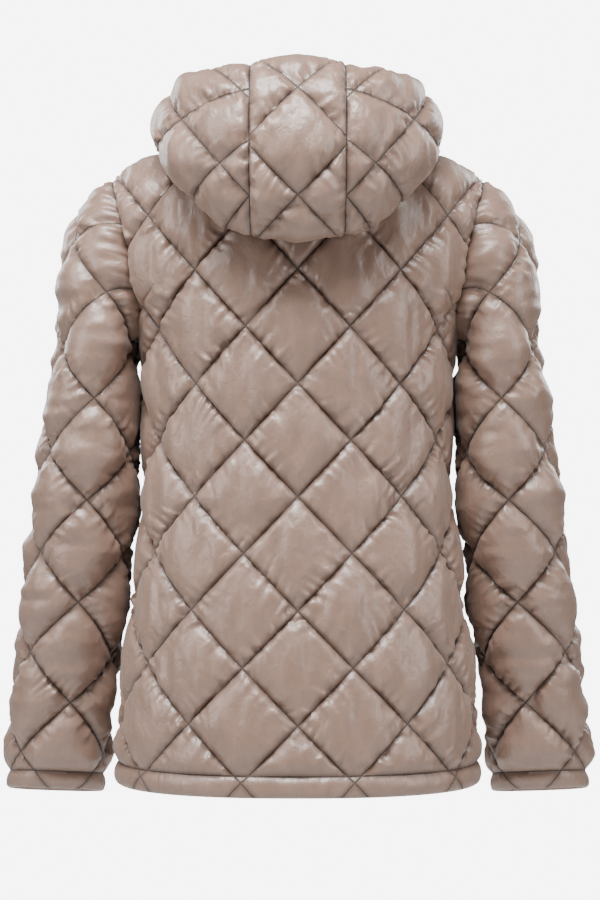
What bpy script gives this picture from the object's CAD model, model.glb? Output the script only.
# Quilted jacket seen from behind: padded satin nylon, full hood lying back, zip down the front.
# Each sewn piece is a fine shell over the form of its solid. Lengths are millimetres until a mesh
# is made, and cloth coordinates run across and along the flat cloth.
import bpy
import math
import numpy as np
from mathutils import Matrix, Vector


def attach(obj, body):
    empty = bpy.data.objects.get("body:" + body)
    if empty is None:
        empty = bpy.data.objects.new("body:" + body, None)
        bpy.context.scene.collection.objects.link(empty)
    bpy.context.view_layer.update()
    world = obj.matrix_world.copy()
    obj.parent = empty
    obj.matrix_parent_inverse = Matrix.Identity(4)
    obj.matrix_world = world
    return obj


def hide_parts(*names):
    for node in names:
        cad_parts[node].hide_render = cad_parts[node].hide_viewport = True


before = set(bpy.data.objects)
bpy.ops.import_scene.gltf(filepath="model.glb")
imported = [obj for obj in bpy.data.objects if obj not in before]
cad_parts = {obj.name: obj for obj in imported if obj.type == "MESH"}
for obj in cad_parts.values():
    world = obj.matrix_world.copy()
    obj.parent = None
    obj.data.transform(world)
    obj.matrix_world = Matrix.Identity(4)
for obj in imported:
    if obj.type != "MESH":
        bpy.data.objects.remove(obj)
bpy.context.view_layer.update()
print("frame loaded")


# Reading tables and lines

def readColumn(rows, column, at):
    rows = np.array(rows, float)
    key, value = rows[:, 0], rows[:, column]
    if key[1] < key[0]:
        key, value = key[::-1], value[::-1]
    slope = np.empty(len(key))
    slope[1:-1] = (value[2:] - value[:-2]) / (key[2:] - key[:-2])
    slope[0] = (value[1] - value[0]) / (key[1] - key[0])
    slope[-1] = (value[-1] - value[-2]) / (key[-1] - key[-2])
    i = np.clip(np.searchsorted(key, at) - 1, 0, len(key) - 2)
    span = key[i + 1] - key[i]
    t = np.clip((at - key[i]) / span, 0, 1)
    rest = 1 - t
    ends = value[i] * (1 + 2 * t) * rest ** 2 + value[i + 1] * (3 - 2 * t) * t ** 2
    return ends + span * (slope[i] * t * rest ** 2 - slope[i + 1] * t ** 2 * rest)


def runningLength(points):
    steps = np.linalg.norm(np.diff(points, axis=-2), axis=-1)
    start = np.zeros(steps.shape[:-1] + (1,))
    return np.concatenate([start, np.cumsum(steps, axis=-1)], axis=-1)


def readCurve(points, lengths, at):  # one curve and one length for each row
    row = np.arange(len(at))
    i = np.clip((lengths < at[:, None]).sum(axis=1), 1, lengths.shape[1] - 1)
    t = (at - lengths[row, i - 1]) / (lengths[row, i] - lengths[row, i - 1])
    return points[row, i - 1] * (1 - t)[:, None] + points[row, i] * t[:, None]


def readLine(line, fraction):  # one polyline at fractions of its length
    lengths = runningLength(line)
    at = np.asarray(fraction) * lengths[-1]
    return np.stack([np.interp(at, lengths, line[:, k]) for k in range(line.shape[1])], axis=-1)


def roundedCurve(stops, count):  # centripetal curve through the stops
    stops = np.array(stops, float)
    first, last = 2 * stops[0] - stops[1], 2 * stops[-1] - stops[-2]
    ring = np.vstack([first, stops, last])
    at = np.linspace(0, len(stops) - 1, count + 1)
    i = np.minimum(at.astype(int), len(stops) - 2)
    t = (at - i)[:, None]
    p0, p1, p2, p3 = (ring[i + k] for k in range(4))
    pairs = ((p0, p1), (p1, p2), (p2, p3))
    d0, d1, d2 = (np.sqrt(np.linalg.norm(q - p, axis=1))[:, None] for p, q in pairs)
    leave = ((p1 - p0) / d0 - (p2 - p0) / (d0 + d1) + (p2 - p1) / d1) * d1
    reach = ((p2 - p1) / d1 - (p3 - p1) / (d1 + d2) + (p3 - p2) / d2) * d1
    square = -3 * p1 + 3 * p2 - 2 * leave - reach
    cube = 2 * p1 - 2 * p2 + leave + reach
    return p1 + t * (leave + t * (square + t * cube))


def smoothstep(value, low, high):
    t = np.clip((value - low) / (high - low), 0, 1)
    return t * t * (3 - 2 * t)


# Form of the body

body = {
    "power": 2.4, "hem": -676, "hemBand": 22, "zipEdge": 9,
    "shoulderStart": -80, "shoulderTop": 22, "shoulderSlope": 0.43, "shoulderRound": 60,
    "neckHalfWidth": 78, "neckBack": 68, "neckFront": 108,
    # height, half width, half depth
    "sections": [
        (-80, 203, 119), (-108, 197, 122), (-133, 190, 125), (-160, 179, 127), (-182, 167.5, 128),
        (-205, 160, 128), (-260, 158, 126), (-320, 154, 123), (-390, 157, 125), (-480, 168, 131),
        (-590, 181, 137), (-676, 190, 142),
    ],
    # out, back, up from the shoulder point down to the side seam
    "armhole": [
        (196, 0, -40), (194.5, 22, -45), (191, 43, -57), (184, 62, -80), (178, 65, -108),
        (171.5, 67, -133), (166.5, 59, -160), (162, 42, -183), (160, 22, -197), (159.6, 0, -203),
    ],
}
quarterTurn = np.linspace(0, math.pi / 2, 121)


def bodyQuarter(level):
    level = np.atleast_1d(level)
    width = readColumn(body["sections"], 1, level)[:, None]
    depth = readColumn(body["sections"], 2, level)[:, None]
    bend = 2 / body["power"]
    wide, deep = np.sin(quarterTurn) ** bend, np.abs(np.cos(quarterTurn)) ** bend
    points = np.stack([width * wide, depth * deep], axis=-1)
    points[:, -1, 1] = 0
    return points, runningLength(points)


def shoulderArch(out, depth):
    out, depth = np.atleast_1d(out), np.atleast_1d(depth)
    bend = body["shoulderRound"]
    top = body["shoulderTop"] - body["shoulderSlope"] * (np.hypot(out, bend) - bend)
    rise = (top - body["shoulderStart"])[:, None]
    arch = np.stack([depth[:, None] * np.cos(quarterTurn), rise * np.sin(quarterTurn)], axis=-1)
    return arch, runningLength(arch)


def bodyPoint(across, up, side):  # side is 1 for the back and -1 for the front
    start = body["shoulderStart"]
    quarter, lengths = bodyQuarter(np.minimum(up, start))
    total = lengths[:, -1]
    length = np.abs(across)
    past = length > total
    flat = readCurve(quarter, lengths, np.where(past, 2 * total - length, length))
    turned = np.where(past, -1.0, 1.0)
    arch, archLengths = shoulderArch(flat[:, 0], flat[:, 1])
    over = np.maximum(up - start, 0)
    archTotal = archLengths[:, -1]
    beyond = over > archTotal
    place = readCurve(arch, archLengths, np.where(beyond, 2 * archTotal - over, over))
    high = up > start
    y = np.where(high, place[:, 0], flat[:, 1]) * np.where(high & beyond, -turned, turned) * side
    z = np.where(high, start + place[:, 1], up)
    return np.stack([np.where(across < 0, -flat[:, 0], flat[:, 0]), y, z], axis=-1)


def acrossAt(height, column, value):
    points, lengths = bodyQuarter(height)
    line = points[0, :, column]
    if column == 1:
        return float(np.interp(-value, -line, lengths[0]))
    return float(np.interp(value, line, lengths[0]))


def archAt(out):
    start = body["shoulderStart"]
    across = acrossAt(start, 0, out)
    points, lengths = bodyQuarter(start)
    arch, archLengths = shoulderArch(out, np.interp(across, lengths[0], points[0, :, 1]))
    return across, arch[0], archLengths[0]


def shoulderSeam(out):
    across, lengths = archAt(out)[::2]
    return across, body["shoulderStart"] + lengths[-1]


armholeLine = roundedCurve(body["armhole"], 90)


def armholeCloth(fraction):
    out, back, up = readLine(armholeLine, fraction)
    start = body["shoulderStart"]
    if fraction >= 1:
        return float(bodyQuarter(up)[1][0, -1]), up
    if up <= start:
        return acrossAt(up, 1, back), up
    across, arch, lengths = archAt(out)
    if fraction <= 0:
        return across, start + lengths[-1]
    return across, start + float(np.interp(up - start, arch[:, 1], lengths))


def neckCloth(turn):
    angle = math.radians(turn)
    depth = body["neckFront"] if turn > 90 else body["neckBack"]
    across, arch, lengths = archAt(body["neckHalfWidth"] * math.sin(angle))
    behind = depth * abs(math.cos(angle))
    return across, body["shoulderStart"] + float(np.interp(-behind, -arch[:, 0], lengths))


def bodySpot(cloth, side):
    return bodyPoint(np.array([cloth[0]]), np.array([cloth[1]]), side)[0]


frontTurn = 180 - math.degrees(math.asin(body["zipEdge"] / body["neckHalfWidth"]))

# Form of the sleeve, for the left one

sleeve = {
    "power": 2.2, "spread": 0.3, "step": 4, "cuffBand": 20,
    "capRise": 1.15, "capLeave": 1.1, "capOut": 0.86, "capBack": 0.18, "capDown": 0.3,
    # height, outer side, inner side, middle from front to back, half depth
    "sections": [
        (-214, 246, 179, 0, 71), (-272, 257, 177.5, -2, 67), (-325, 265, 175, -5, 63),
        (-379, 272, 179, -10, 60), (-485, 286, 191, -25, 55), (-592, 300, 208, -43, 49),
        (-696, 314, 216, -62, 44),
    ],
}
sleevePath = np.array([
    ((outer + inner) / 2, middle, up) for up, outer, inner, middle, _ in sleeve["sections"]
])
sleeveRun = runningLength(sleevePath)
sleeveLength = float(sleeveRun[-1])
sleeveRows = [
    (-run, (outer + inner) / 2, (outer - inner) / 2, middle, up, depth)
    for run, (up, outer, inner, middle, depth) in zip(sleeveRun, sleeve["sections"])
]
halfTurn = np.linspace(0, 180, 241)


def ringPoint(along, turn):
    read = [readColumn(sleeveRows, k, along) for k in range(1, 6)]
    step = sleeve["step"]
    start = np.maximum(along, step - sleeveLength)
    ahead = [
        readColumn(sleeveRows, k, start - step) - readColumn(sleeveRows, k, start)
        for k in (1, 3, 4)
    ]
    lean = np.arctan2(ahead[1], ahead[2]) - math.pi
    spread = sleeve["spread"] * np.arctan2(ahead[0], -ahead[2])
    angle = np.radians(turn)
    bend = 2 / sleeve["power"]
    wide = read[1] * np.sign(np.cos(angle)) * np.abs(np.cos(angle)) ** bend
    deep = read[4] * np.sign(np.sin(angle)) * np.abs(np.sin(angle)) ** bend
    return np.stack([
        read[0] + wide * np.cos(spread),
        read[2] + deep * np.cos(lean),
        read[3] + wide * np.sin(spread) + deep * np.sin(lean),
    ], axis=-1)


def ringLengths(along):
    along = np.clip(np.atleast_1d(along), -sleeveLength, 0)
    points = ringPoint(np.repeat(along, len(halfTurn)), np.tile(halfTurn, len(along)))
    return runningLength(points.reshape(len(along), len(halfTurn), 3))


def armholePoint(turn):
    return bodySpot(armholeCloth(abs(turn) / 180), -1 if turn < 0 else 1)


capTurn = 3.0
capTurns = np.arange(-180, 181, capTurn)
capSteps = np.linspace(0, 1, 61)[:, None]


def makeCaps():  # curves of cloth from the top ring of the sleeve up to the armhole
    caps = []
    for turn in capTurns:
        angle = math.radians(turn)
        start = ringPoint(np.array([0.0]), np.array([turn]))[0]
        end = armholePoint(turn)
        reach = np.linalg.norm(end - start)
        drop = sleeve["capDown"]
        leave = [sleeve["capOut"], sleeve["capBack"] * math.sin(angle), -drop - drop * math.cos(angle)]
        leave = np.array(leave)
        leave *= -reach * sleeve["capLeave"] / np.linalg.norm(leave)
        rise = np.array([0, 0, reach * sleeve["capRise"]])
        t, rest = capSteps, 1 - capSteps
        caps.append((1 + 2 * t) * rest ** 2 * start + (3 - 2 * t) * t ** 2 * end
                    + t * rest ** 2 * rise - t ** 2 * rest * leave)
    return np.array(caps)


capCurves = makeCaps()
capLengths = runningLength(capCurves)


def capTotal(turn):
    return np.interp(turn, capTurns, capLengths[:, -1])


def sleevePoint(across, along):
    lengths = ringLengths(along)
    turns = np.broadcast_to(halfTurn[:, None], lengths.shape + (1,))
    turn = np.clip(np.sign(across) * readCurve(turns, lengths, np.abs(across))[:, 0], -180, 180)
    low = ringPoint(np.minimum(along, 0), turn)
    place = np.clip((turn + 180) / capTurn, 0, len(capTurns) - 1.001)
    k = place.astype(int)
    t = (place - k)[:, None]
    total = capTotal(turn)
    part = np.clip(along / total, 0, 1)
    near, far = (
        readCurve(capCurves[j], capLengths[j], part * capLengths[j, -1]) for j in (k, k + 1)
    )
    return np.where((along > 0)[:, None], near * (1 - t) + far * t, low)


# Form of the hood

hood = {
    "halfStrip": 48, "step": 3.0,
    # turn, then out and up at the six stops from the neck to the rim: leave, under, low, back, top, rim
    "sections": [
        (0, 96, 26, 152, -46, 178, -120, 216, -35, 181, 56, 128, 44),
        (25, 97, 26, 151, -36, 174, -101, 208, -32, 175, 55, 124, 45),
        (50, 98, 27, 146, 0, 169, -36, 182, -18, 146, 52, 109, 47),
        (75, 89, 22, 109, 28, 127, 22, 135, 31, 113, 55, 93, 50),
        (100, 86, 19, 103, 26, 117, 27, 122, 35, 106, 48, 90, 45),
        (125, 90, 12, 102, 18, 111, 21, 114, 28, 105, 38, 94, 37),
        (150, 100, -2, 107, 6, 112, 12, 113, 19, 109, 28, 102, 30),
        (176, 110, -28, 114, -22, 116, -15, 116, -8, 113, 0, 109, 4),
    ],
}
hoodTurns = np.append(np.arange(0, 174, 2.0), frontTurn)


def makeHoodProfiles():
    profiles = []
    for turn in hoodTurns:
        angle = math.radians(turn)
        read = [float(readColumn(hood["sections"], k, turn)) for k in range(1, 13)]
        sine, cosine = math.sin(angle), math.cos(angle)
        stops = [(out * sine, out * cosine, up) for out, up in zip(read[::2], read[1::2])]
        neck = bodySpot(neckCloth(turn), -1 if turn > 90 else 1)
        profiles.append(roundedCurve([neck] + stops, 160)[::-1])
    return np.array(profiles)


hoodProfiles = makeHoodProfiles()
hoodLengths = runningLength(hoodProfiles)
hoodTotals = hoodLengths[:, -1]


def hoodRows(along):  # the points of every profile at some lengths from the rim
    count = len(hoodTurns)
    rows = [readCurve(hoodProfiles, hoodLengths, np.full(count, value)) for value in along]
    return np.array(rows)


def hoodPoint(across, along):
    table = hoodTable
    place = np.clip(along / table["step"], 0, len(table["rows"]) - 1.001)
    k = place.astype(int)
    t = (place - k)[:, None]
    lengths = table["lengths"][k] * (1 - t) + table["lengths"][k + 1] * t
    points = table["rows"][k] * (1 - t[:, :, None]) + table["rows"][k + 1] * t[:, :, None]
    place = readCurve(points, lengths, np.abs(across))
    place[:, 0] *= np.where(across < 0, -1, 1)
    return place


def makeHoodTable(step):
    rows = hoodRows(np.arange(0, hoodTotals.max() + step, step))
    return {"step": step, "rows": rows, "lengths": runningLength(rows)}


hoodTable = makeHoodTable(hood["step"])


def hoodAcross(turn, along):
    place = min(max(along / hoodTable["step"], 0), len(hoodTable["rows"]) - 1.001)
    k = int(place)
    near, far = hoodTable["lengths"][k:k + 2]
    lengths = near * (1 - place + k) + far * (place - k)
    return float(np.interp(turn, hoodTurns, lengths))


def hoodTotal(turn):
    return float(np.interp(turn, hoodTurns, hoodTotals))


stripTurn = next(
    t for t in np.arange(5, 90, 0.25) if hoodAcross(t, hoodTotal(t)) >= hood["halfStrip"]
)
print("forms of body, sleeve and hood ready")

# Quilting grids: each whole number of a or b is a row of stitches

quilting = {
    "body": {
        "width": 105.4, "rise": 115.5, "height": -372.5,
        "flare": 8.6, "flareTop": -200, "flareLength": 465,
    },
    "sleeve": {"width": 102, "rise": 111, "across": 92, "along": -60, "drift": 0.012},
    "strip": {"width": 104, "rise": -108, "across": 0, "along": 89, "drift": 0},
    "steep": {"start": 196, "slope": 1.11, "spacing": 98},
    "flat": {"start": 142, "slope": 0.6, "spacing": 54, "spread": 0.4},
}


def bodyGrid(across, along):
    q = quilting["body"]
    width = q["width"] + q["flare"] * np.maximum(0, q["flareTop"] - along) / q["flareLength"]
    u, v = across / width, (along - q["height"]) / q["rise"]
    return u + v, v - u


def plainGrid(name):
    q = quilting[name]

    def grid(across, along):
        v = (along - q["along"]) / q["rise"]
        u = (across - q["across"] - q["drift"] * (along - q["along"])) / q["width"]
        return u + v, v - u
    return grid


def fanGrid(across, along):
    steep, flat = quilting["steep"], quilting["flat"]
    away = across - hood["halfStrip"]
    a = (along + steep["slope"] * away - steep["start"]) / steep["spacing"]
    b = (along - flat["start"] - flat["slope"] * away) / (flat["spacing"] + flat["spread"] * away)
    return a, b


# Laying out a piece

def patch(bottom, right, top, left, u, v):  # cloth inside four edges, filled evenly
    low, high, near, far = readLine(bottom, u), readLine(top, u), readLine(left, v), readLine(right, v)
    across, up = u[None, :, None], v[:, None, None]
    sides = (1 - up) * low[None] + up * high[None] + (1 - across) * near[:, None] + across * far[:, None]
    corners = ((1 - across) * (1 - up) * low[0] + across * (1 - up) * low[-1]
               + (1 - across) * up * high[0] + across * up * high[-1])
    return sides - corners


innerStep = 4  # the plain inside has one vertex for each four outside


def fineSteps(length, spacing):  # closer near both ends, in a multiple of the inner step
    close = np.array([0, 0.8, 1.9, 3.3])
    count = max(innerStep, int(round((length - 2 * close[-1]) / spacing)))
    count += (-(count + 2 * (len(close) - 1))) % innerStep
    middle = np.linspace(close[-1], length - close[-1], count + 1)
    return np.concatenate([close[:-1], middle, length - close[-2::-1]]) / length


def cubicRead(values, at, axis):
    values = np.moveaxis(values, axis, 0)
    padded = np.concatenate([2 * values[:1] - values[1:2], values, 2 * values[-1:] - values[-2:-1]])
    i = np.minimum(at.astype(int), len(values) - 2)
    t = (at - i).reshape((-1,) + (1,) * (values.ndim - 1))
    p0, p1, p2, p3 = (padded[i + k] for k in range(4))
    cube = 3 * (p1 - p2) + p3 - p0
    result = p1 + 0.5 * t * (p2 - p0 + t * (2 * p0 - 5 * p1 + 4 * p2 - p3 + t * cube))
    return np.moveaxis(result, 0, axis)


def slopes(values):  # change from one vertex to the next, across and along
    return np.gradient(values, axis=1), np.gradient(values, axis=0)


def unit(vectors):
    return vectors / np.maximum(np.linalg.norm(vectors, axis=-1, keepdims=True), 1e-9)


meshSpacing = 2.25


def layOut(form, grid, lines, outward):  # lines are the bottom, right, top and left edges
    size = [runningLength(line)[-1] for line in lines]
    u, v = (fineSteps((one + two) / 2, meshSpacing) for one, two in (size[::2], size[1::2]))
    cloth = patch(*lines, u, v)
    coarseU, coarseV = (np.linspace(0, 1, len(steps) // innerStep + 1) for steps in (u, v))
    coarse = patch(*lines, coarseU, coarseV)
    flat = coarse.reshape(-1, 2)
    points = form(flat[:, 0], flat[:, 1]).reshape(coarse.shape[:2] + (3,))
    atU, atV = u * (len(coarseU) - 1), v * (len(coarseV) - 1)
    base = cubicRead(cubicRead(points, atV, 0), atU, 1)
    normal = unit(np.cross(*slopes(points))) * outward
    normal = unit(cubicRead(cubicRead(normal, atV, 0), atU, 1))
    a, b = grid(cloth[..., 0], cloth[..., 1])
    return {
        "cloth": cloth, "base": base, "normal": normal, "a": a, "b": b,
        "grid": grid, "outward": outward,
    }


seamPart = 9  # length of the straight parts that a sewn edge is read in


def nearestSeam(cloth, lines):  # distance to the nearest sewn edge, the run along it and its fade
    shape = cloth.shape[:2]
    x, y = cloth[..., 0].ravel(), cloth[..., 1].ravel()
    best = np.full(x.shape, 1e9)
    run = np.zeros(x.shape)
    fade = np.full(x.shape, 12.0)
    offset = 0.0
    for line, width in lines:
        stops = max(3, int(runningLength(line)[-1] / seamPart))
        line = readLine(line, np.linspace(0, 1, stops))
        lengths = runningLength(line)
        for k in range(len(line) - 1):
            d = line[k + 1] - line[k]
            t = np.clip(((x - line[k, 0]) * d[0] + (y - line[k, 1]) * d[1]) / (d @ d), 0, 1)
            away = np.hypot(x - line[k, 0] - t * d[0], y - line[k, 1] - t * d[1])
            closer = away < best
            best[closer] = away[closer]
            run[closer] = offset + lengths[k] + t[closer] * (lengths[k + 1] - lengths[k])
            fade[closer] = width
        offset += lengths[-1] + 50
    return best.reshape(shape), run.reshape(shape), fade.reshape(shape)


# Moves the vertices nearest to each row of stitches onto it, so that its valley is crisp.
def snapToStitches(sheet, level=None):
    cloth, base = sheet["cloth"], sheet["base"]
    (du, dv), (pu, pv) = slopes(cloth), slopes(base)
    steps, masks = [], []
    for field in (sheet["a"], sheet["b"]):
        steps.append(slopes(field) + (np.round(field) - field,))
    if level is not None:
        steps.append((np.zeros_like(dv[..., 1]), dv[..., 1], level - cloth[..., 1]))
    for fu, fv, off in steps:
        masks.append(np.abs(off) <= 0.5 * np.maximum(np.abs(fu), np.abs(fv)))
    inside = np.zeros(masks[0].shape, bool)
    inside[1:-1, 1:-1] = True
    (au, av, ao), (bu, bv, bo) = steps[:2]
    both = masks[0] & masks[1]
    cross = au * bv - av * bu
    cross = np.where(np.abs(cross) < 1e-9, 1e-9, cross)
    moveU = np.where(both, (ao * bv - bo * av) / cross, 0)
    moveV = np.where(both, (au * bo - bu * ao) / cross, 0)
    for mask, (fu, fv, off) in zip(masks, steps):
        alone = mask & ~both
        size = fu ** 2 + fv ** 2
        size = np.where(size < 1e-12, 1, size)
        moveU = np.where(alone, off * fu / size, moveU)
        moveV = np.where(alone, off * fv / size, moveV)
    tooFar = np.hypot(moveU, moveV) > 1
    keep = inside & ~tooFar
    moveU, moveV = moveU * keep, moveV * keep
    sheet["cloth"] = cloth + du * moveU[..., None] + dv * moveV[..., None]
    sheet["base"] = base + pu * moveU[..., None] + pv * moveV[..., None]
    sheet["a"], sheet["b"] = sheet["grid"](sheet["cloth"][..., 0], sheet["cloth"][..., 1])
    sheet["stitched"] = (masks[0] | masks[1]) & keep
    sheet["banded"] = masks[-1] & keep if level is not None else np.zeros(inside.shape, bool)


# Unevenness that is the same on each run

scatter = {"across": 374761393, "along": 668265263, "seed": 982451653, "stir": 12741261}
wordMask, halfMask = 0xffffffff, 0xffff


def lattice(ix, iy, seed):  # a steady value from -1 to 1 for each corner of a square grid
    h = ix.astype(np.int64) * scatter["across"] + iy.astype(np.int64) * scatter["along"]
    h = (h + seed * scatter["seed"]) & wordMask
    h = ((h ^ (h >> 13)) * scatter["stir"]) & wordMask
    h = (h ^ (h >> 15)) & halfMask
    return h / (halfMask / 2) - 1


def unevenness(x, y, seed):
    ix, iy = np.floor(x), np.floor(y)
    fx, fy = x - ix, y - iy
    wx, wy = fx * fx * (3 - 2 * fx), fy * fy * (3 - 2 * fy)
    low = lattice(ix, iy, seed) * (1 - wx) + lattice(ix + 1, iy, seed) * wx
    high = lattice(ix, iy + 1, seed) * (1 - wx) + lattice(ix + 1, iy + 1, seed) * wx
    return low * (1 - wy) + high * wy


pucker = {"narrow": 4.6, "wide": 9, "slant": 45, "change": 38, "crest": 4, "reach": 17}


def puckers(away, run, key, seed):  # short folds square to a seam, held flat at the stitches
    slant = 0.5 * away * unevenness(run / pucker["slant"], key * 3, seed + 1)
    folds = unevenness((run + slant) / pucker["narrow"], key * 3, seed)
    folds = folds + 0.8 * unevenness((run + slant) / pucker["wide"], key * 3 + 1, seed + 2)
    near = away / pucker["crest"]
    lift = 2 * near / (1 + near ** 2) * np.exp(-(away / pucker["reach"]) ** 2)
    return folds * lift * (0.75 + 0.5 * unevenness(run / pucker["change"], key * 3 + 2, seed + 3))


padding = {
    "wall": 2.2, "seamWall": 1.2, "wallFade": 6, "edgeRound": 3.2, "edgeShare": 0.35, "edgeFade": 4,
    "crown": 9.4, "uneven": 0.1, "cell": 78, "bandFade": 20,
    "pucker": 3.1, "crossing": 9, "seamPucker": 2.4, "seamCalm": 8,
    # soft folds: height, wave across and along, and the distance from a row at which they start
    "soft": 3.0, "grain": (34, 52), "finer": 2.3, "calm": (1, 22),
    # a turned-up band: its swelling, share of that from the cells, ripples and tucks at its stitches
    "bandSwell": 3.2, "bandCell": 0.18, "ripple": 0.5, "rippleWave": (7, 13),
    "tuck": 0.8, "tuckBelow": 0.6,
    # how far the cloth may sink below its wall, and the share of the padding that stays
    "deepest": 0.8, "thinnest": 0.6, "spareWall": 0.3,
}


def quiltedHeight(sheet, piece):
    seed, (seamAway, seamRun, fade), cell = piece["seed"], sheet["seam"], sheet["cell"]
    a, b = sheet["a"], sheet["b"]
    u, v = 2 * (a - np.floor(a)) - 1, 2 * (b - np.floor(b)) - 1
    swell = np.sqrt(np.maximum(0, (1 - u * u) * (1 - v * v)))
    fullness = 1 + padding["uneven"] * lattice(np.floor(a), np.floor(b), seed + 9)
    rounding = 1 - (1 - np.clip(seamAway / fade, 0, 1)) ** 2
    swell = swell * fullness * rounding
    awayA, awayB = np.abs(a - np.round(a)) * cell[0], np.abs(b - np.round(b)) * cell[1]
    rows = ((a, awayA, b * cell[1], awayB, 0, 20), (b, awayB, a * cell[0], awayA, 300, 30))
    folds = 0
    for value, away, run, other, first, own in rows:
        key = np.round(value) * 2 + np.where(value > np.round(value), 1, 0) + first
        folds = folds + puckers(away, run, key, seed + own) * smoothstep(other, 0, padding["crossing"])
    nearSeam = puckers(seamAway, seamRun, np.zeros(a.shape) + 7, seed + 40)
    x, y = sheet["cloth"][..., 0], sheet["cloth"][..., 1]
    grainX, grainY = (at / size for at, size in zip((x, y), piece.get("grain", padding["grain"])))
    finer = padding["finer"]
    soft = unevenness(grainX, grainY, seed + 50)
    soft = soft + 0.5 * unevenness(grainX * finer, grainY * finer, seed + 51)
    quiet = smoothstep(np.minimum(awayA, awayB), *padding["calm"])
    height = piece.get("crown", padding["crown"]) * swell
    detail = padding["soft"] * soft * quiet * rounding
    detail = detail + padding["pucker"] * folds * smoothstep(seamAway, 0, padding["seamCalm"])
    detail = detail + padding["seamPucker"] * nearSeam
    above = sheet["band"]  # distance above the stitch line of a turned-up band
    if above is not None:
        middle = 1 - (2 * np.clip(-above / piece["band"], 0, 1) - 1) ** 2
        level = np.zeros(x.shape)
        long, longer = padding["rippleWave"]
        ripple = unevenness(x / long, level + 3, seed + 60)
        ripple = ripple + 0.6 * unevenness(x / longer, level + 8, seed + 61)
        fromCell = padding["bandCell"]
        band = padding["bandSwell"] * np.sqrt(middle) * (1 - fromCell + fromCell * swell)
        band = band + padding["ripple"] * ripple * middle
        tuck = puckers(np.abs(above), x, level + 11, seed + 62) * padding["tuck"]
        fall = 1 - (1 - np.clip(above / padding["bandFade"], 0, 1)) ** 2
        height = np.where(above >= 0, height * fall, band)
        detail = np.where(above >= 0, detail * fall + tuck, tuck * padding["tuckBelow"])
    return height, detail


# Meshes

def linked(name, data):
    obj = bpy.data.objects.new(name, data)
    bpy.context.collection.objects.link(obj)
    return obj


def meshFrom(name, vertices, triangles, flatFrom=None):
    mesh = bpy.data.meshes.new(name)
    mesh.vertices.add(len(vertices))
    mesh.vertices.foreach_set("co", (vertices * 0.001).astype(np.float32).ravel())
    mesh.loops.add(triangles.size)
    mesh.loops.foreach_set("vertex_index", triangles.astype(np.int32).ravel())
    mesh.polygons.add(len(triangles))
    mesh.polygons.foreach_set("loop_start", np.arange(0, triangles.size, 3, dtype=np.int32))
    smooth = np.ones(len(triangles), bool)
    if flatFrom is not None:
        smooth[flatFrom:] = False
    mesh.polygons.foreach_set("use_smooth", smooth)
    mesh.update(calc_edges=True)
    mesh.validate()
    return linked(name, mesh)


def gridTriangles(rows, columns, first, flip, marked=None, points=None):
    i, j = np.meshgrid(np.arange(rows - 1), np.arange(columns - 1), indexing="ij")
    p, q = first + i * columns + j, first + i * columns + j + 1
    r, s = q + columns, p + columns
    rising = np.ones(p.shape, bool)
    if points is not None:
        one = np.linalg.norm(points[1:, 1:] - points[:-1, :-1], axis=-1)
        two = np.linalg.norm(points[1:, :-1] - points[:-1, 1:], axis=-1)
        rising = one <= two
    if marked is not None:
        onRising = marked[:-1, :-1] & marked[1:, 1:]
        onFalling = marked[:-1, 1:] & marked[1:, :-1]
        rising = np.where(onRising & ~onFalling, True, np.where(onFalling & ~onRising, False, rising))
    one = np.stack([np.stack([p, q, r], -1), np.stack([p, r, s], -1)], -2)
    two = np.stack([np.stack([p, q, s], -1), np.stack([q, r, s], -1)], -2)
    triangles = np.where(rising[..., None, None], one, two).reshape(-1, 3)
    return triangles[:, ::-1] if flip else triangles


def loopOf(rows, columns, first):
    low = [(0, j) for j in range(columns - 1)]
    right = [(i, columns - 1) for i in range(rows - 1)]
    high = [(rows - 1, j) for j in range(columns - 1, 0, -1)]
    left = [(i, 0) for i in range(rows - 1, 0, -1)]
    return [first + i * columns + j for i, j in low + right + high + left]


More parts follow.
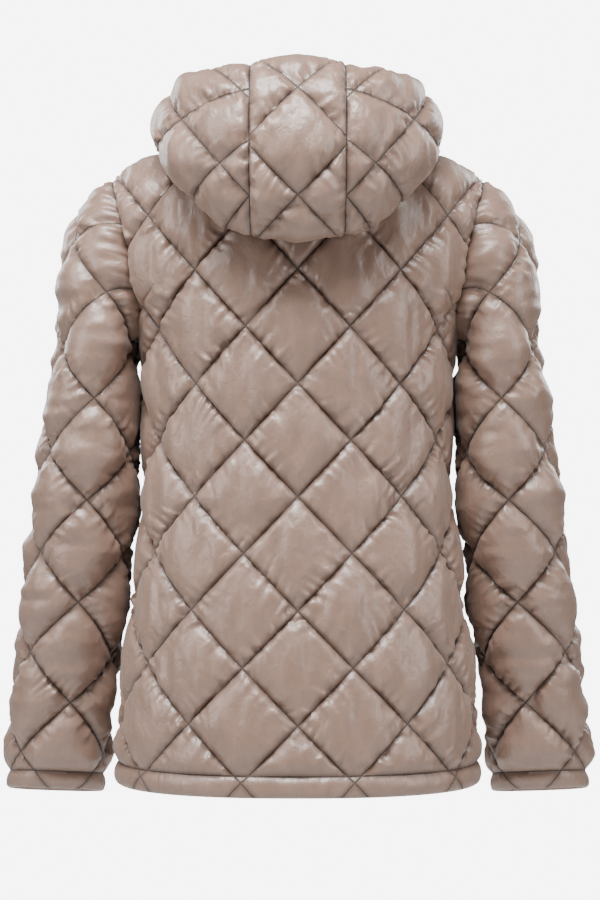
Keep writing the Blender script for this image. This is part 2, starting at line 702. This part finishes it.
def shellObject(name, sheet, outer, flip):
    rows, columns = outer.shape[:2]
    inner = sheet["base"][::innerStep, ::innerStep]
    inRows, inColumns = inner.shape[:2]
    start = rows * columns
    marked = sheet["stitched"] | sheet["banded"]
    faces = [
        gridTriangles(rows, columns, 0, flip, marked, outer),
        gridTriangles(inRows, inColumns, start, not flip),
    ]
    outerLoop, innerLoop = loopOf(rows, columns, 0), loopOf(inRows, inColumns, start)
    wall = []
    count = len(innerLoop)
    for k in range(count):
        here, after = innerLoop[k], innerLoop[(k + 1) % count]
        fine = [outerLoop[(innerStep * k + n) % len(outerLoop)] for n in range(innerStep + 1)]
        wall += [(fine[0], here, fine[1]), (fine[1], here, fine[2]), (here, after, fine[2])]
        wall += [(fine[2], after, fine[3]), (fine[3], after, fine[4])]
    wall = np.array(wall)
    if flip:
        wall = wall[:, ::-1]
    triangles = np.concatenate(faces + [wall])
    vertices = np.concatenate([outer.reshape(-1, 3), inner.reshape(-1, 3)])
    obj = meshFrom(name, vertices, triangles, sum(len(f) for f in faces))
    mesh = obj.data

    def both(values):
        shape = (-1,) + values.shape[2:]
        return np.concatenate([values.reshape(shape), values[::innerStep, ::innerStep].reshape(shape)])
    a, b = both(sheet["a"]), both(sheet["b"])
    corner = np.empty(len(mesh.loops), np.int32)
    mesh.loops.foreach_get("vertex_index", corner)
    layer = mesh.uv_layers.new(name="quilt")
    layer.uv.foreach_set("vector", np.stack([a[corner], b[corner]], -1).astype(np.float32).ravel())
    cell = np.stack([size + 0 * sheet["a"] for size in sheet["cell"]], -1)
    band = sheet["band"] if sheet["band"] is not None else np.full(sheet["a"].shape, 200.0)
    sewing = np.concatenate([both(cell), both(sheet["seam"][0])[:, None]], axis=-1)
    place = np.concatenate([both(sheet["cloth"]), both(band)[:, None]], axis=-1)
    for label, values in (("sewing", sewing), ("place", place)):
        attribute = mesh.attributes.new(label, "FLOAT_VECTOR", "POINT")
        attribute.data.foreach_set("vector", values.astype(np.float32).ravel())
    return obj


# Lets the filled cloth settle: it has more length than the gap between its rows of stitches, is
# pushed out by the filling, and finds its own small folds.
settling = {
    "steps": 70, "extra": 0.012, "push": 0.02, "drag": 0.86, "bend": 0.16, "squeeze": 0.55,
    "relax": 0.42, "rise": 1.06, "spare": 0.4, "low": 1.4, "full": 6,
}


def settle(sheet, outer, height, held):
    base, normal = sheet["base"], sheet["normal"]
    start = base.astype(np.float32)
    place = outer.astype(np.float32)
    before = place.copy()
    out = normal.astype(np.float32)
    free = (~held)[..., None].astype(np.float32)
    most = (settling["rise"] * height + padding["wall"] + settling["spare"]).astype(np.float32)
    least = np.minimum(settling["low"], 0.5 * height + 1.0).astype(np.float32)
    fullness = np.clip(height / settling["full"], 0, 1)[..., None].astype(np.float32)
    extra = 1 + settling["extra"]

    rows, columns = base.shape[:2]
    links = []
    # rows and columns between two linked vertices, and the strength; a bend link only resists folding
    reaches = ((0, 1, 1.0), (1, 0, 1.0), (1, 1, 0.7), (-1, 1, 0.7), (0, 2, -1), (2, 0, -1))
    for rowStep, columnStep, strength in reaches:
        down, up = max(0, -rowStep), max(0, rowStep)
        one = slice(down, rows - up), slice(0, columns - columnStep)
        two = slice(up, rows - down), slice(columnStep, columns)
        rest = np.linalg.norm(start[two] - start[one], axis=-1) * extra
        links.append((one, two, rest, strength))
    for _ in range(settling["steps"]):
        moved = (place - before) * settling["drag"]
        before = place.copy()
        push = np.cross(*slopes(place)) * sheet["outward"]
        push /= np.maximum(np.linalg.norm(push, axis=-1, keepdims=True), 1e-6)
        change = moved + push * settling["push"] * fullness
        fix = np.zeros_like(place)
        for one, two, rest, strength in links:
            d = place[two] - place[one]
            length = np.maximum(np.linalg.norm(d, axis=-1), 1e-6)
            over = (length - rest) / length
            if strength < 0:
                over = np.minimum(over, 0) * settling["bend"]
            else:
                over = np.where(over > 0, over, over * settling["squeeze"]) * strength
            pull = d * (over * 0.5)[..., None]
            fix[one] += pull
            fix[two] -= pull
        place = before + (change + fix * settling["relax"]) * free
        rise = ((place - start) * out).sum(axis=-1)
        wanted = np.clip(rise, least, most)
        place += out * ((wanted - rise)[..., None] * free)
    return place.astype(float)


pieces = {}


def enter(obj, bodyName, slotName, *nodes):
    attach(obj, bodyName)
    if nodes:
        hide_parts(*nodes)
    pieces[obj.name] = obj


def makePiece(name, piece, sheet, mirror=False):
    height, detail = quiltedHeight(sheet, piece)
    seamAway = sheet["seam"][0]
    thin, thick = padding["seamWall"], padding["wall"]
    wall = thin + (thick - thin) * smoothstep(seamAway, 0, padding["wallFade"])
    edge, corner = sheet["edge"], padding["edgeRound"]  # distance to a free edge, and its rounding
    rounded = np.sqrt(np.clip(1 - (1 - np.clip(edge / corner, 0, 1)) ** 2, 0, 1))
    share = padding["edgeShare"]
    shrink = np.where(edge < corner, share + (1 - share) * rounded, 1)
    total = (wall + np.maximum(height, -padding["deepest"])) * shrink
    outer = sheet["base"] + sheet["normal"] * total[..., None]
    held = sheet["stitched"] | sheet["banded"]
    if sheet["band"] is not None:
        held = np.where(sheet["band"] < -0.5, edge < corner, held) | sheet["banded"]
    held[0], held[-1], held[:, 0], held[:, -1] = True, True, True, True
    outer = settle(sheet, outer, np.maximum(height, 0), held)
    deepest = padding["spareWall"] - padding["thinnest"] * (wall + np.maximum(height, 0))
    detail = np.maximum(detail, deepest) * smoothstep(edge, 0, padding["edgeFade"])
    outer = outer + sheet["normal"] * detail[..., None]
    if mirror:
        outer = outer * [-1, 1, 1]
        sheet = dict(sheet, base=sheet["base"] * [-1, 1, 1])
    obj = shellObject(name, sheet, outer, (sheet["outward"] < 0) != mirror)
    enter(obj, "jacket", "quilted_nylon", piece["node"])


def finishSheet(sheet, seams, free, band=None, uneven=False):
    snapToStitches(sheet, band)
    cloth = sheet["cloth"]
    sheet["seam"] = nearestSeam(cloth, seams)
    sheet["edge"] = nearestSeam(cloth, free)[0] if free else np.full(cloth.shape[:2], 1e3)
    sheet["band"] = None if band is None else cloth[..., 1] - band
    sheet["cell"] = (padding["cell"], padding["cell"])
    if uneven:  # the width of a cell is read from the grid itself
        steps = [np.linalg.norm(step, axis=-1) for step in slopes(sheet["base"])]
        rates = [
            np.hypot(*(slope / step for slope, step in zip(slopes(sheet[key]), steps)))
            for key in ("a", "b")
        ]
        sheet["cell"] = tuple(1 / np.maximum(rate, 1e-3) for rate in rates)
    return sheet


def makeBody():
    hemEnd = float(bodyQuarter(body["hem"])[1][0, -1])
    underarm = armholeCloth(1)
    side = [(float(bodyQuarter(up)[1][0, -1]), up) for up in np.linspace(body["hem"], underarm[1], 40)]
    armhole = [armholeCloth(f) for f in np.linspace(1, 0, 61)]
    outs = np.linspace(body["armhole"][0][0], body["neckHalfWidth"], 24)
    shoulder = [shoulderSeam(out) for out in outs]
    band = body["hem"] + body["hemBand"]
    for part, turns, start in (("back", (90, 0), 0), ("front", (90, frontTurn), body["zipEdge"])):
        neck = [neckCloth(t) for t in np.linspace(*turns, 31)]
        bottom = np.array([(start, body["hem"]), (hemEnd, body["hem"])])
        right = np.array(side + armhole[1:])
        top = np.array((shoulder + neck[1:])[::-1])
        low = top[0, 0] if part == "back" else start
        left = np.array([(low, body["hem"]), tuple(top[0])])
        facing = 1 if part == "back" else -1
        lines = (bottom, right, top, left)
        sewn = ((side, 4), (armhole, 14), (shoulder, 12), (neck, 30))  # with the run of their fade
        seams = [(np.array(line), fade) for line, fade in sewn]
        if part == "back":
            lines = joinMirrored(lines)
            seams += [(line * [-1, 1], fade) for line, fade in seams]
            free = [(lines[0], 1)]
        else:
            free = [(bottom, 1)]
            seams.append((left, 8))
        sheet = layOut(lambda s, z: bodyPoint(s, z, facing), bodyGrid, lines, -facing)
        sheet = finishSheet(sheet, seams, free, band)
        look = {"band": body["hemBand"]}
        if part == "back":
            makePiece("backPanel", dict(look, node="back", seed=11, grain=(19, 62)), sheet)
        else:
            makePiece("frontLeft", dict(look, node="front_left", seed=23), dict(sheet))
            makePiece("frontRight", dict(look, node="front_right", seed=37), dict(sheet), mirror=True)


def joinMirrored(lines):  # a half piece and its mirror image as one piece
    bottom, right, top = lines[:3]

    def whole(line):
        return np.concatenate([line[::-1] * [-1, 1], line[1:]])
    return whole(bottom), right, whole(top), right * [-1, 1]


makeBody()


def makeSleeves():
    underarm = float(capTotal(180))

    def half(along):
        return float(ringLengths(along)[0, -1])
    seamRight = [(half(z), z) for z in np.linspace(-sleeveLength, 0, 50)]
    seamRight = np.array(seamRight + [(half(0), underarm)])
    ring = ringLengths(0)[0]
    capLine = []
    for turn in np.linspace(-180, 180, 121):
        across = math.copysign(float(np.interp(abs(turn), halfTurn, ring)), turn)
        capLine.append((across, float(capTotal(turn))))
    top = np.array(capLine)
    bottom = np.array([(-half(-sleeveLength), -sleeveLength), (half(-sleeveLength), -sleeveLength)])
    left = seamRight * [-1, 1]
    band = -sleeveLength + sleeve["cuffBand"]
    sheet = layOut(sleevePoint, plainGrid("sleeve"), (bottom, seamRight, top, left), 1)
    sheet = finishSheet(sheet, [(seamRight, 3.5), (left, 3.5), (top, 14)], [(bottom, 1)], band)
    look = {"band": sleeve["cuffBand"], "grain": (62, 20), "crown": 10.6}
    makePiece("sleeveLeft", dict(look, node="sleeve_left", seed=41), dict(sheet))
    makePiece("sleeveRight", dict(look, node="sleeve_right", seed=53), dict(sheet), mirror=True)


makeSleeves()


def makeHood():
    strip = hood["halfStrip"]
    end = hoodTotal(stripTurn)

    def neckEdge(turns, limit):
        edge = [(limit(hoodAcross(turn, hoodTotal(turn)), strip), hoodTotal(turn)) for turn in turns]
        return np.array(edge)
    top = neckEdge(np.linspace(0, stripTurn, 12), min)
    top[-1] = (strip, end)
    top = np.concatenate([top[::-1] * [-1, 1], top[1:]])
    bottom = np.array([(-strip, 0), (strip, 0)])
    right = np.array([(strip, 0), (strip, end)])
    left = right * [-1, 1]
    sheet = layOut(hoodPoint, plainGrid("strip"), (bottom, right, top, left), 1)
    sheet = finishSheet(sheet, [(right, 10), (left, 10), (top, 26)], [(bottom, 1)])
    makePiece("hoodStrip", {"node": "hood_centre", "seed": 61, "crown": 9, "grain": (24, 40)}, sheet)

    top = neckEdge(np.linspace(stripTurn, frontTurn, 60), max)
    top[0] = (strip, end)
    alongs = np.linspace(0, 1, 12) * hoodTotal(frontTurn)
    right = np.array([(hoodAcross(frontTurn, along), along) for along in alongs])
    right[-1] = top[-1]
    left = np.array([(strip, 0), (strip, end)])
    bottom = np.array([(strip, 0), tuple(right[0])])
    sheet = layOut(hoodPoint, fanGrid, (bottom, right, top, left), 1)
    sheet = finishSheet(sheet, [(left, 10), (top, 26)], [(bottom, 1), (right, 1)], uneven=True)
    look = {"crown": 8.5, "grain": (22, 60)}
    makePiece("hoodLeft", dict(look, node="hood_left", seed=71), dict(sheet))
    makePiece("hoodRight", dict(look, node="hood_right", seed=83), dict(sheet), mirror=True)


makeHood()

# The zip

zipper = {
    "tapeEdge": 8.85, "tapeWall": 1.4, "inset": 0.02, "behind": 3.2, "tapeStep": 4.0,
    "tapeFlat": (0.0117, 0.64),
    # out from the middle of the zip and share of the wall, over the woven edge and its cord
    "cord": [(5.2, 0.75), (3.7, 0.8), (3.2, 1.25), (2.3, 1.45), (1.2, 1.3)],
    "pitch": 2.9, "reach": 2.7, "tall": 1.75, "head": 1.25,
    # size of the tooth's outline and its height over the cloth
    "toothLevels": [(1.0, 0.7), (1.0, 2.25), (0.82, 2.6)],
    "castEdge": {"zipSlider": 0.00035, "zipPull": 0.0003},
}
zipTop = neckCloth(180)[1]


def frontFrame(up):  # place, outward side and upward side of the zip at some heights of cloth
    zero = np.zeros(len(up))
    place = bodyPoint(zero, up, -1)
    upward = unit(bodyPoint(zero, up + 1, -1) - bodyPoint(zero, up - 1, -1))
    outward = unit(np.cross(upward, np.array([[-1.0, 0, 0]])))
    outward *= np.where(outward[:, 1:2] > 0, -1, 1)
    return place, outward, upward


def strips(first, levels, count):  # the faces round a stack of rings, and its two ends
    faces = []
    for level in range(levels - 1):
        for i in range(count):
            p, q = (first + level * count + k for k in (i, (i + 1) % count))
            faces += [(p, q, q + count), (p, q + count, p + count)]
    top = first + (levels - 1) * count
    for i in range(1, count - 1):
        faces += [(first, first + i + 1, first + i), (top, top + i, top + i + 1)]
    return faces


def makeTape(word, side):
    heights = np.arange(body["hem"] + 1.2, zipTop - 1.2, zipper["tapeStep"])
    place, outward = frontFrame(heights)[:2]
    inner, edge, wall = zipper["inset"], zipper["tapeEdge"], zipper["tapeWall"]
    # the tape runs on behind the edge of the front
    behind = edge + zipper["behind"]
    section = [(inner, -0.6), (behind, -0.6), (behind, -0.1), (edge, -0.05), (edge, wall * 0.7)]
    section += [(x, wall * h) for x, h in zipper["cord"]] + [(inner, wall)]
    rings = [p + np.array([side * x, 0, 0]) + o * h for p, o in zip(place, outward) for x, h in section]
    triangles = np.array(strips(0, len(heights), len(section)))
    obj = meshFrom("zipTape" + word, np.array(rings), triangles[:, ::side])
    enter(obj, "jacket", "zip_tape", "zip_tape_" + word.lower())


def makeTeeth(word, side):
    pitch, tall, head, reach = (zipper[k] for k in ("pitch", "tall", "head", "reach"))
    heights = np.arange(body["hem"] + 3, zipTop - 3, pitch) + (pitch / 2 if side > 0 else 0)
    # one moulded tooth: a foot over the cord, a neck and a rounded head that reaches past the middle
    half = [(reach + 0.5, 0.5), (0.9, 0.42), (0.1, 0.36), (-head * 0.6, 0.42), (-head, 0.2)]
    profile = [(reach + 0.5, -tall / 2)] + [(x, tall * z) for x, z in half]
    profile += [(x, -tall * z) for x, z in half[:0:-1]]
    middle = np.mean(profile, axis=0)[0]
    vertices, triangles = [], []
    levels = zipper["toothLevels"]
    for p, o, u in zip(*frontFrame(heights)):
        triangles += strips(len(vertices), len(levels), len(profile))
        for size, h in levels:
            vertices += [
                p + np.array([side * (middle + (x - middle) * size), 0, 0]) + u * z * size + o * h
                for x, z in profile
            ]
    obj = meshFrom("zipTeeth" + word, np.array(vertices), np.array(triangles)[:, ::-side], 0)
    enter(obj, "jacket", "zip_tape")


def bevelledCopy(name, node, bodyName):  # the cast slider parts with their edges rounded
    obj = linked(name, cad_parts[node].data.copy())
    bevel = obj.modifiers.new("cast edges", "BEVEL")
    bevel.width = zipper["castEdge"][name]
    bevel.segments = 3
    bevel.limit_method = "ANGLE"
    bevel.angle_limit = math.radians(35)
    bpy.context.view_layer.objects.active = obj
    with bpy.context.temp_override(object=obj, active_object=obj, selected_objects=[obj]):
        bpy.ops.object.modifier_apply(modifier=bevel.name)
    enter(obj, bodyName, "zip_metal", node)


for side, word in ((1, "Left"), (-1, "Right")):
    makeTape(word, side)
    makeTeeth(word, side)
bevelledCopy("zipSlider", "zip_slider", "jacket")
bevelledCopy("zipPull", "zip_pull", "zip_pull_tab")
print("zip made")


# Materials

def colour(hexValue):  # sRGB hex to linear
    parts = [int(hexValue[i:i + 2], 16) / 255 for i in (1, 3, 5)]
    return tuple(c / 12.92 if c <= 0.04045 else ((c + 0.055) / 1.055) ** 2.4 for c in parts) + (1.0,)


def add(tree, kind, settings=None, links=None):  # one node with its settings and what feeds it
    node = tree.nodes.new(kind)
    for key, value in (settings or {}).items():
        if isinstance(key, int) or key in node.inputs:
            node.inputs[key].default_value = value
        else:
            setattr(node, key, value)
    for key, source in (links or {}).items():
        tree.links.new(source, node.inputs[key])
    return node


def newMaterial(name):
    material = bpy.data.materials.new(name)
    material.use_nodes = True
    material.node_tree.nodes.clear()
    return material, material.node_tree


blend = {"data_type": "RGBA"}
smooth = {"interpolation_type": "SMOOTHSTEP"}


def surface(tree, settings, links):
    shader = add(tree, "ShaderNodeBsdfPrincipled", settings, links)
    add(tree, "ShaderNodeOutputMaterial", None, {0: shader.outputs[0]})


# Nylon taffeta, calendered on one side: a smooth satin face that keeps soft wide highlights, with
# brown shade in the rows of stitches and fine creases where the thread draws it in.
nylon = {
    "face": "#80675A", "light": "#8C7265", "shade": "#6C564A", "shadow": "#4F3C31",
    "groove": "#2E1F18", "thread": "#503C31", "stitch": 3.3, "grooveWidth": 1.15,
    "smooth": 0.33, "rough": 0.45,
    "finish": {
        "IOR": 1.52, "Sheen Weight": 0.12, "Sheen Roughness": 0.4, "Specular IOR Level": 0.62,
    },
}

# Each row makes one value from values above it: name, operation, inputs. A fade gives what it
# starts and ends with, and the two distances in millimetres between which it does so.
clothSteps = [
    ("wholeA", "ROUND", "a"), ("wholeB", "ROUND", "b"),
    ("offA", "SUBTRACT", "a", "wholeA"), ("offB", "SUBTRACT", "b", "wholeB"),
    ("sideA", "ABSOLUTE", "offA"), ("sideB", "ABSOLUTE", "offB"),
    ("awayA", "MULTIPLY", "sideA", "cellA"), ("awayB", "MULTIPLY", "sideB", "cellB"),
    ("runA", "MULTIPLY", "b", "cellB"), ("runB", "MULTIPLY", "a", "cellA"),
    ("nearA", "LESS_THAN", "awayA", "awayB"), ("nearB", "SUBTRACT", 1, "nearA"),
    ("onA", "MULTIPLY", "runA", "nearA"), ("onB", "MULTIPLY", "runB", "nearB"),
    ("runRow", "ADD", "onA", "onB"), ("quiltRow", "MINIMUM", "awayA", "awayB"),
    ("bandRow", "ABSOLUTE", "aboveBand"), ("nearBand", "LESS_THAN", "bandRow", "quiltRow"),
    ("farBand", "SUBTRACT", 1, "nearBand"), ("onBand", "MULTIPLY", "across", "nearBand"),
    ("onRow", "MULTIPLY", "runRow", "farBand"), ("run", "ADD", "onBand", "onRow"),
    ("row", "MINIMUM", "quiltRow", "bandRow"),
    ("groove", "FADE", "row", 1, 0, 0.35, nylon["grooveWidth"]),
    ("haze", "FADE", "row", 0.6, 0, 0.5, 5.5),
    ("inSeam", "FADE", "seam", 1, 0, 0.2, 1.5), ("seamHaze", "FADE", "seam", 0.5, 0, 0.8, 6.0),
    ("dark", "MAXIMUM", "groove", "inSeam"), ("shadow", "MAXIMUM", "haze", "seamHaze"),
    # a lockstitch shows as short raised dashes of thread
    ("stitches", "DIVIDE", "run", nylon["stitch"]), ("dash", "FRACT", "stitches"),
    ("dashOff", "SUBTRACT", "dash", 0.5), ("dashSide", "ABSOLUTE", "dashOff"),
    ("onDash", "FADE", "dashSide", 1, 0, 0.28, 0.38), ("onThread", "FADE", "row", 1, 0, 0.25, 0.5),
    ("thread", "MULTIPLY", "onThread", "onDash"),
    ("tone", "FADE", "cloud", 0, 1, 0.3, 0.72),
    # heights in millimetres
    ("creased", "MULTIPLY", "creases", 1.3), ("woven", "MULTIPLY", "threads", 0.035),
    ("face", "ADD", "creased", "woven"), ("sunk", "MULTIPLY", "groove", 0.8),
    ("drawn", "SUBTRACT", "face", "sunk"), ("raised", "MULTIPLY", "thread", 0.35),
    ("height", "ADD", "drawn", "raised"),
    ("satin", "FADE", "creases", nylon["smooth"], nylon["rough"], 0.3, 0.7),
    ("worn", "MULTIPLY", "dark", 0.3), ("roughness", "ADD", "satin", "worn"),
]

# Waves for each millimetre of cloth, across and along, and the noise drawn with them. The weave is
# drawn at 0.9 mm because its real 0.2 mm threads are finer than the picture shows.
clothNoise = {
    "cloud": ((0.055, 0.02, 0.0), {"Scale": 1.0, "Detail": 3.0, "Roughness": 0.6}),
    "threads": ((1.1, 1.1, 0.0), {"Scale": 1.0, "Detail": 2.0}),
    "creases": ((0.16, 0.1, 0.0), {"Scale": 1.0, "Detail": 4.0, "Roughness": 0.55, "Distortion": 0.6}),
}


def quiltedNylon():
    material, tree = newMaterial("calenderedNylonTaffeta")
    quilt = add(tree, "ShaderNodeUVMap", {"uv_map": "quilt"}).outputs[0]
    sewing, place = (
        add(tree, "ShaderNodeAttribute", {"attribute_name": name}).outputs["Vector"]
        for name in ("sewing", "place")
    )
    stored = (
        (quilt, ("a", "b")), (sewing, ("cellA", "cellB", "seam")),
        (place, ("across", "along", "aboveBand")),
    )
    values = {}
    for source, names in stored:
        parts = add(tree, "ShaderNodeSeparateXYZ", None, {0: source}).outputs
        values.update(zip(names, parts))
    for name, (waves, settings) in clothNoise.items():
        scaled = add(tree, "ShaderNodeVectorMath", {"operation": "MULTIPLY", 1: waves}, {0: place})
        links = {"Vector": scaled.outputs[0]}
        values[name] = add(tree, "ShaderNodeTexNoise", settings, links).outputs[0]
    for name, operation, *inputs in clothSteps:
        kind, settings, order = "ShaderNodeMath", {"operation": operation}, (0, 1)
        if operation == "FADE":
            kind, settings, order = "ShaderNodeMapRange", dict(smooth), (0, 3, 4, 1, 2)
        fed = dict(zip(order, inputs))
        settings.update({k: value for k, value in fed.items() if not isinstance(value, str)})
        links = {k: values[value] for k, value in fed.items() if isinstance(value, str)}
        values[name] = add(tree, kind, settings, links).outputs[0]
    ends = {**blend, 6: colour(nylon["shade"]), 7: colour(nylon["light"])}
    tone = add(tree, "ShaderNodeMix", ends, {0: values["tone"]}).outputs[2]
    mixed = add(tree, "ShaderNodeMix", {**blend, 0: 0.3, 6: colour(nylon["face"])}, {7: tone})
    for share, name in (("shadow", "shadow"), ("dark", "groove"), ("thread", "thread")):
        links = {0: values[share], 6: mixed.outputs[2]}
        mixed = add(tree, "ShaderNodeMix", {**blend, 7: colour(nylon[name])}, links)
    bump = {"Strength": 0.8, "Distance": 0.001}
    bump = add(tree, "ShaderNodeBump", bump, {"Height": values["height"]}).outputs[0]
    links = {"Base Color": mixed.outputs[2], "Roughness": values["roughness"], "Normal": bump}
    surface(tree, nylon["finish"], links)
    return material


hardware = {
    # Polyester twill tape, woven: matt, with fine slanting ribs drawn at 1.2 mm, twice the real
    # ones, so that they show
    "wovenPolyesterTape": {
        "kind": "ShaderNodeTexWave", "output": "Fac",
        "pattern": {
            "wave_type": "BANDS", "bands_direction": "DIAGONAL", "Scale": 260.0, "Distortion": 0.6,
        },
        "low": "#77665B", "high": "#8E7C70", "bump": {"Strength": 0.5, "Distance": 0.0002},
        "finish": {"Roughness": 0.82, "IOR": 1.5, "Sheen Weight": 0.2},
        "pieces": ["zipTapeLeft", "zipTapeRight"],
    },
    # Acetal, injection moulded: hard, even and slightly glossy, with a grain of 1.1 mm
    "mouldedAcetal": {
        "kind": "ShaderNodeTexNoise", "output": 0, "pattern": {"Scale": 900.0, "Detail": 2.0},
        "low": "#7C6A5F", "high": "#897669", "bump": {"Strength": 0.15, "Distance": 0.0001},
        "finish": {"Roughness": 0.36, "IOR": 1.48},
        "pieces": ["zipTeethLeft", "zipTeethRight"],
    },
    # Zinc alloy, die cast, tumbled and plated in warm gunmetal: a soft gloss with faint wear in
    # patches of 2.4 mm
    "platedZincAlloy": {
        "kind": "ShaderNodeTexNoise", "output": 0,
        "pattern": {"Scale": 420.0, "Detail": 5.0, "Roughness": 0.65},
        "low": "#8C8177", "high": "#A79C90", "bump": {"Strength": 0.12, "Distance": 0.0001},
        "spread": {1: 0.35, 2: 0.65}, "polish": {1: 0.3, 2: 0.7, 3: 0.24, 4: 0.4},
        "finish": {"Metallic": 1.0},
        "pieces": ["zipSlider", "zipPull"],
    },
}


def hardwareMaterial(name):
    look = hardware[name]
    material, tree = newMaterial(name)
    place = add(tree, "ShaderNodeTexCoord").outputs["Object"]
    pattern = add(tree, look["kind"], look["pattern"], {"Vector": place}).outputs[look["output"]]
    share = pattern
    if "spread" in look:
        share = add(tree, "ShaderNodeMapRange", {**smooth, **look["spread"]}, {0: pattern}).outputs[0]
    ends = {**blend, 6: colour(look["low"]), 7: colour(look["high"])}
    links = {
        "Base Color": add(tree, "ShaderNodeMix", ends, {0: share}).outputs[2],
        "Normal": add(tree, "ShaderNodeBump", look["bump"], {"Height": pattern}).outputs[0],
    }
    if "polish" in look:
        polish = add(tree, "ShaderNodeMapRange", {**smooth, **look["polish"]}, {0: pattern})
        links["Roughness"] = polish.outputs[0]
    surface(tree, look["finish"], links)
    return material


def dress(names, material):
    for name in names:
        data = pieces[name].data
        data.materials.clear()
        data.materials.append(material)


dress([name for name in pieces if not name.startswith("zip")], quiltedNylon())
for name, look in hardware.items():
    dress(look["pieces"], hardwareMaterial(name))
print("materials made")

# Floor, light and camera, in metres

studio = {
    "floorDrop": -1.45, "floorRadius": 3.1, "floor": "#F1EFEC", "middle": (0, 0, -0.35),
    "fill": 0.11, "background": 7.0, "white": "#FFFFFF",
    # name, place, size and watts
    "lights": [
        ("topBox", (0.25, 1.15, 1.5), (1.6, 0.8), 140),
        ("leftBox", (1.9, 1.2, 0.4), (0.6, 1.8), 32),
        ("rightBox", (-1.9, 1.2, 0.2), (0.6, 1.8), 27),
        ("frontLeftBox", (-1.6, -1.9, 0.7), (1.0, 1.6), 34),
        ("frontRightBox", (1.6, -1.9, 0.7), (1.0, 1.6), 34),
    ],
    "camera": (0.0, 2.5, -0.325), "sensor": 36, "imageHeight": 900, "focalPixels": 2343,
    "shiftPixels": 2.2,
}


def makeFloor():
    mesh = bpy.data.meshes.new("studioFloor")
    radius = studio["floorRadius"]
    turns = np.linspace(0, 2 * math.pi, 96, endpoint=False)
    rim = [(radius * math.cos(t), radius * math.sin(t), 0) for t in turns]
    mesh.from_pydata(rim, [], [range(len(rim))])
    floor = linked("studioFloor", mesh)
    floor.location.z = studio["floorDrop"]
    material, tree = newMaterial("paintedBoard")  # matt emulsion on board: even and pale
    surface(tree, {"Base Color": colour(studio["floor"]), "Roughness": 0.9}, None)
    mesh.materials.append(material)


def makeLights():
    for name, place, size, watts in studio["lights"]:
        data = bpy.data.lights.new(name, "AREA")
        data.shape = "RECTANGLE"
        data.size, data.size_y = size
        data.energy = watts
        lamp = linked(name, data)
        lamp.location = place
        direction = Vector(studio["middle"]) - Vector(place)
        lamp.rotation_euler = direction.to_track_quat("-Z", "Y").to_euler()


def makeRoom():  # a soft pale room, shown as the white behind the jacket
    world = bpy.data.worlds.new("softRoom")
    world.use_nodes = True
    tree = world.node_tree
    tree.nodes.clear()
    shown = add(tree, "ShaderNodeLightPath").outputs["Is Camera Ray"]
    room, behind = (
        add(tree, "ShaderNodeBackground", {"Color": colour(studio["white"]), "Strength": studio[name]})
        for name in ("fill", "background")
    )
    mix = add(tree, "ShaderNodeMixShader", None, {0: shown, 1: room.outputs[0], 2: behind.outputs[0]})
    add(tree, "ShaderNodeOutputWorld", None, {0: mix.outputs[0]})
    bpy.context.scene.world = world


def makeCamera():
    data = bpy.data.cameras.new("camera")
    camera = linked("camera", data)
    camera.location = studio["camera"]
    camera.rotation_euler = (math.pi / 2, 0, math.pi)
    data.sensor_fit = "AUTO"
    data.sensor_width = studio["sensor"]
    data.lens = studio["focalPixels"] / studio["imageHeight"] * studio["sensor"]
    data.shift_x = studio["shiftPixels"] / studio["imageHeight"]
    bpy.context.scene.camera = camera


makeFloor()
makeLights()
makeRoom()
makeCamera()
print("studio ready")
